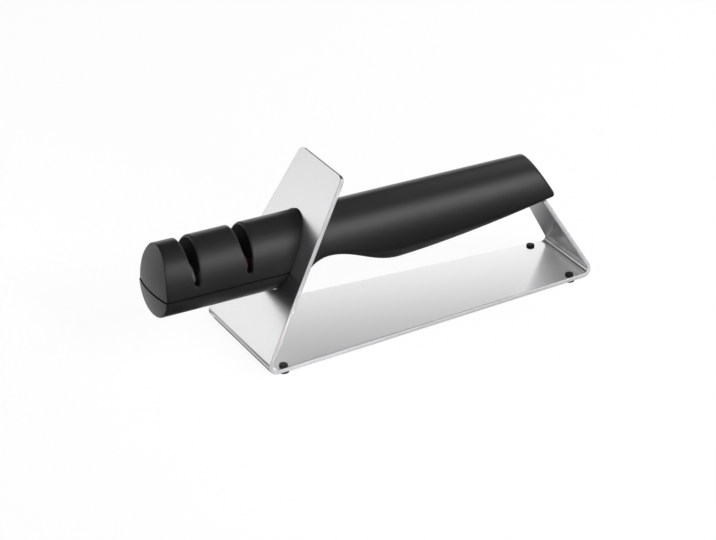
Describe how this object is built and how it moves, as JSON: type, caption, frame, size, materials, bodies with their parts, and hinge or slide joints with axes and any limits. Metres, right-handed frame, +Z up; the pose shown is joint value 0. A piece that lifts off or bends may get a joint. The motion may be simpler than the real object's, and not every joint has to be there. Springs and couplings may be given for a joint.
{
  "type": "knife sharpener",
  "caption": "Hand-held roller knife sharpener with coarse and fine stages, resting through a bent sheet-metal stand on rubber feet.",
  "frame": {"origin": "on the table plane under the feet, in the middle of the whole object's length and width", "axes": "+X from the sharpening head towards the end of the handle, +Y to the left seen from the head's side, +Z up"},
  "size_m": [0.2154, 0.061, 0.0818],
  "materials": {
    "brushed_steel": "fine brushed, cold rolled stainless sheet",
    "body_plastic": "fine moulded texture, satin black",
    "cover_plastic": "fine moulded texture, satin black",
    "black_rubber": "soft matte rubber",
    "coarse_ceramic": "fired abrasive ceramic, white",
    "fine_ceramic": "fired abrasive ceramic, pink",
    "hub_plastic": "slippery white bearing plastic",
    "bright_steel": "bright plated steel"
  },
  "bodies": {
    "stand": {"stand_sheet": "brushed_steel", "foot_front_left": "black_rubber", "foot_front_right": "black_rubber", "foot_rear_left": "black_rubber", "foot_rear_right": "black_rubber"},
    "sharpener": {"handle_housing": "body_plastic", "lower_cover": "cover_plastic", "cover_screw_front": "bright_steel", "cover_screw_rear": "bright_steel", "coarse_axle": "bright_steel", "coarse_washers": "bright_steel", "fine_axle": "bright_steel", "fine_washers": "bright_steel"},
    "coarse_rollers": {"coarse_hub": "hub_plastic", "coarse_wheel_front": "coarse_ceramic", "coarse_wheel_rear": "coarse_ceramic", "coarse_clamp_ring": "hub_plastic"},
    "fine_rollers": {"fine_hub": "hub_plastic", "fine_wheel_front": "fine_ceramic", "fine_wheel_rear": "fine_ceramic", "fine_clamp_ring": "hub_plastic"}
  },
  "joints": [
    {"name": "sharpener_slide", "type": "slide", "parent": "stand", "child": "sharpener", "axis": [-1, 0, 0], "range_m": [0, 0.165]},
    {"name": "coarse_spin", "type": "hinge", "parent": "sharpener", "child": "coarse_rollers", "pos_m": [-0.09098, 0, 0.0395], "axis": [1, 0, 0], "continuous": true},
    {"name": "fine_spin", "type": "hinge", "parent": "sharpener", "child": "fine_rollers", "pos_m": [-0.06588, 0, 0.0395], "axis": [1, 0, 0], "continuous": true}
  ]
}
